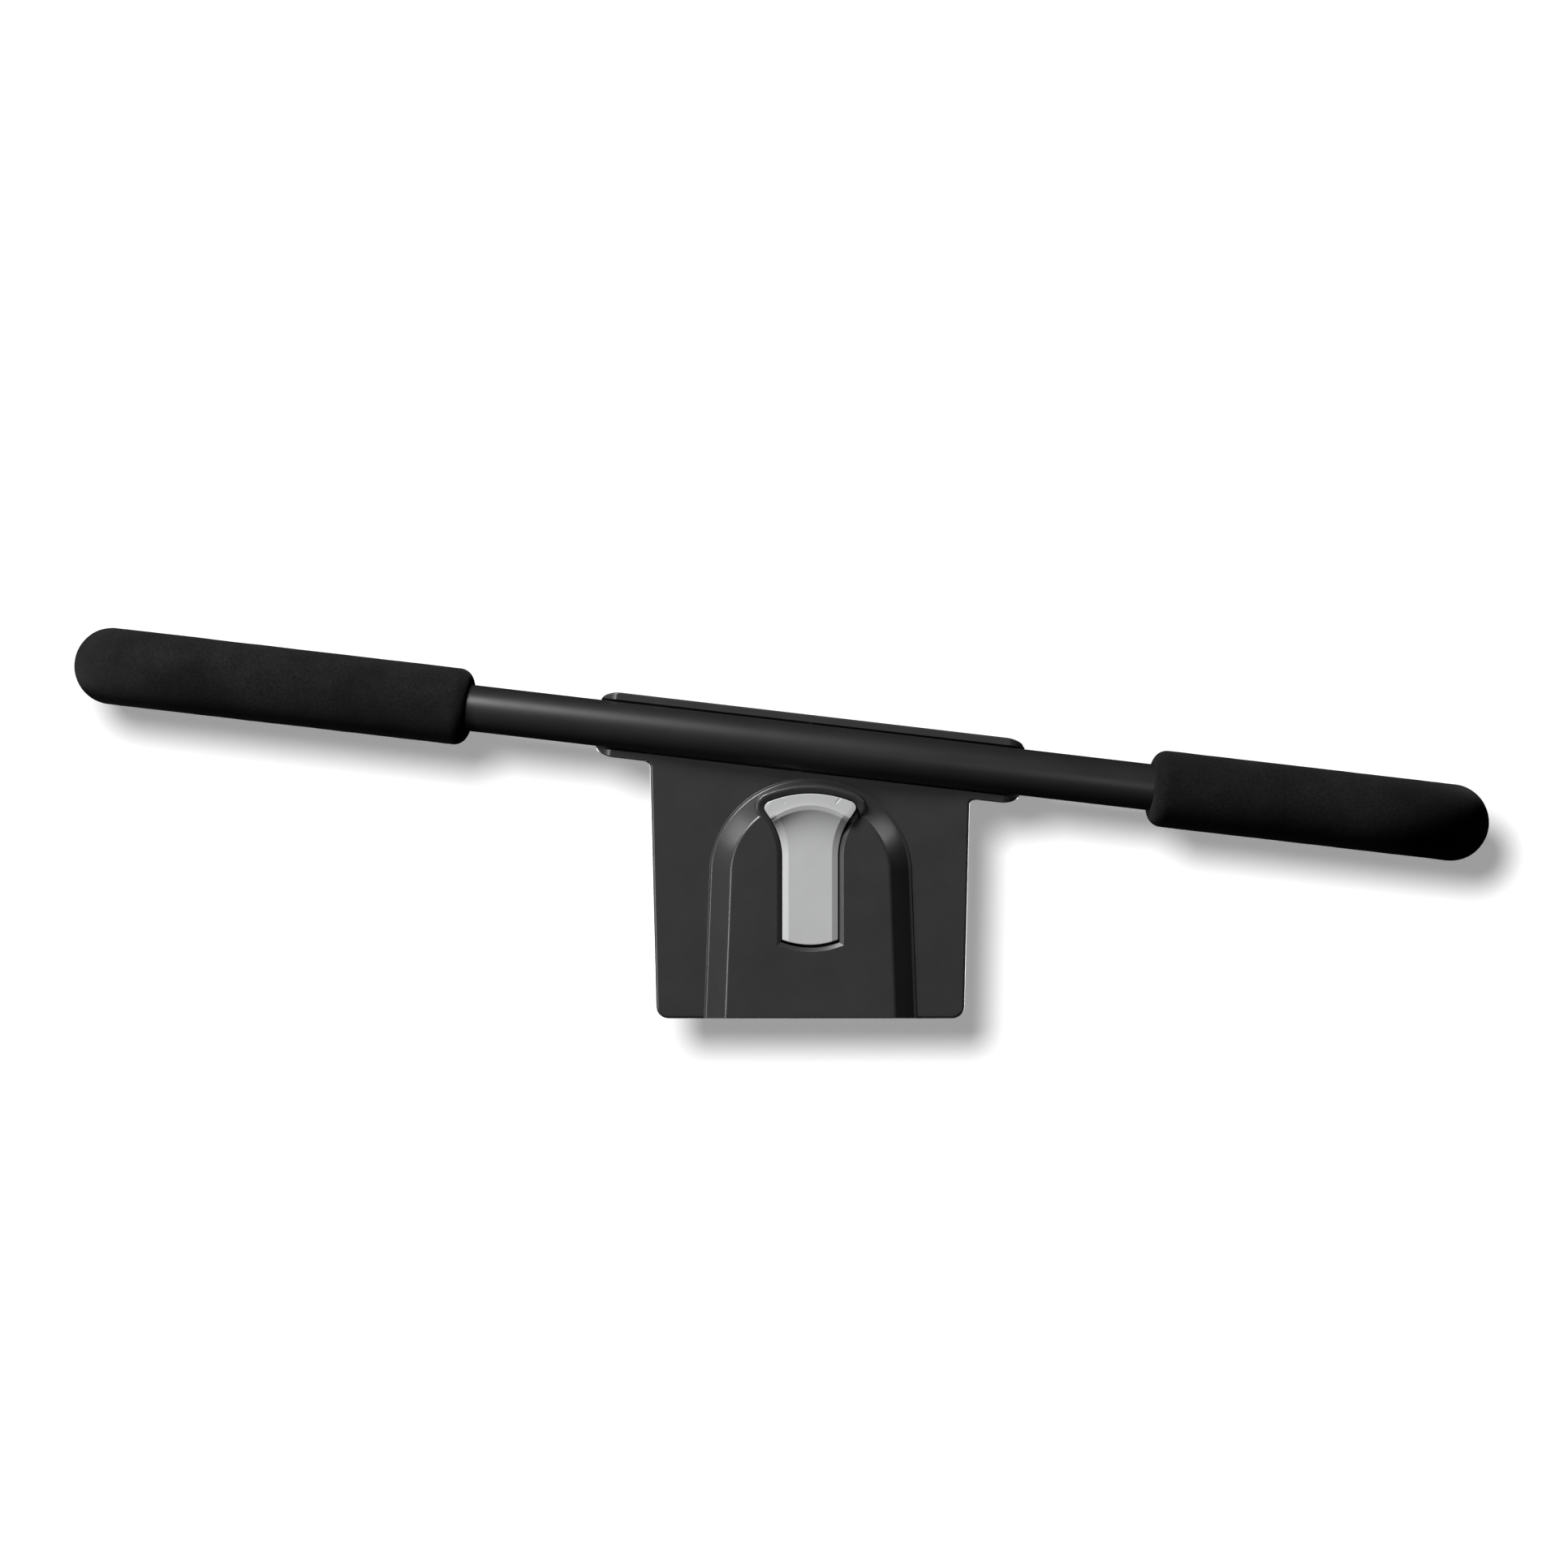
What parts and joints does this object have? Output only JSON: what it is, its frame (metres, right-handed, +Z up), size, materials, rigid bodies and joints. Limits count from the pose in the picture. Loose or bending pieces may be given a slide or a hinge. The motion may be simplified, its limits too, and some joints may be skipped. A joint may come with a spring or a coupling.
{
  "type": "docking pull up bar",
  "caption": "Pull-up bar: a bowed steel tube with curled foam grips, clamped across a moulded bracket with an arched socket, a sprung latch bolt and a pull lever",
  "frame": {"origin": "on the docking face at the back of the bracket, on the axis of the latch bolt", "axes": "+X along the longest extent, to the right seen from the front; +Y out of the docking face, away from the user; +Z up, the way the bracket lifts off its tongue"},
  "size_m": [0.9145, 0.1608, 0.2525],
  "materials": {
    "tube": "satin black powder coat",
    "foam": "matt closed-cell foam rubber",
    "moulding": "satin black glass-filled nylon",
    "lever": "satin light grey plastic",
    "rubber": "matt black rubber",
    "nylon": "natural nylon",
    "black_steel": "black coated steel",
    "bright_steel": "zinc plated steel"
  },
  "bodies": {
    "bracket": {"bar_tube": "tube", "grip_left": "foam", "grip_right": "foam", "end_plug_left": "rubber", "end_plug_right": "rubber", "saddle_liner": "rubber", "bracket_shell": "moulding", "back_plate": "black_steel", "plate_screw_1": "bright_steel", "plate_screw_2": "bright_steel", "plate_screw_3": "bright_steel", "plate_screw_4": "bright_steel", "plate_screw_5": "bright_steel", "plate_screw_6": "bright_steel", "plate_screw_7": "bright_steel", "plate_screw_8": "bright_steel", "tube_bolt_1": "black_steel", "tube_bolt_2": "black_steel", "tube_bolt_3": "black_steel", "tube_insert_1": "bright_steel", "tube_insert_2": "bright_steel", "tube_insert_3": "bright_steel", "socket_liner_left": "nylon", "socket_liner_right": "nylon", "socket_stop_pad": "rubber", "hinge_bracket": "bright_steel", "hinge_screw_1": "bright_steel", "hinge_screw_2": "bright_steel", "lever_pivot_pin": "bright_steel", "pivot_clip_left": "bright_steel", "pivot_clip_right": "bright_steel", "lever_spring": "bright_steel", "bolt_guide": "nylon"},
    "lever": {"release_lever": "lever"},
    "bolt": {"latch_bolt": "bright_steel", "link_pin": "bright_steel"}
  },
  "joints": [
    {"name": "lever_pull", "type": "hinge", "parent": "bracket", "child": "lever", "pos_m": [0, -0.029, -0.028], "axis": [1, 0, 0], "range_deg": [0, 22], "stiffness_Nm_per_rad": 0.6, "springref_deg": -20.05},
    {"name": "bolt_slide", "type": "slide", "parent": "bracket", "child": "bolt", "axis": [0, -1, 0], "range_m": [0, 0.0112]}
  ],
  "couplings": [
    {"joint": "bolt_slide", "follows": "lever_pull", "m_per_rad": 0.029}
  ]
}
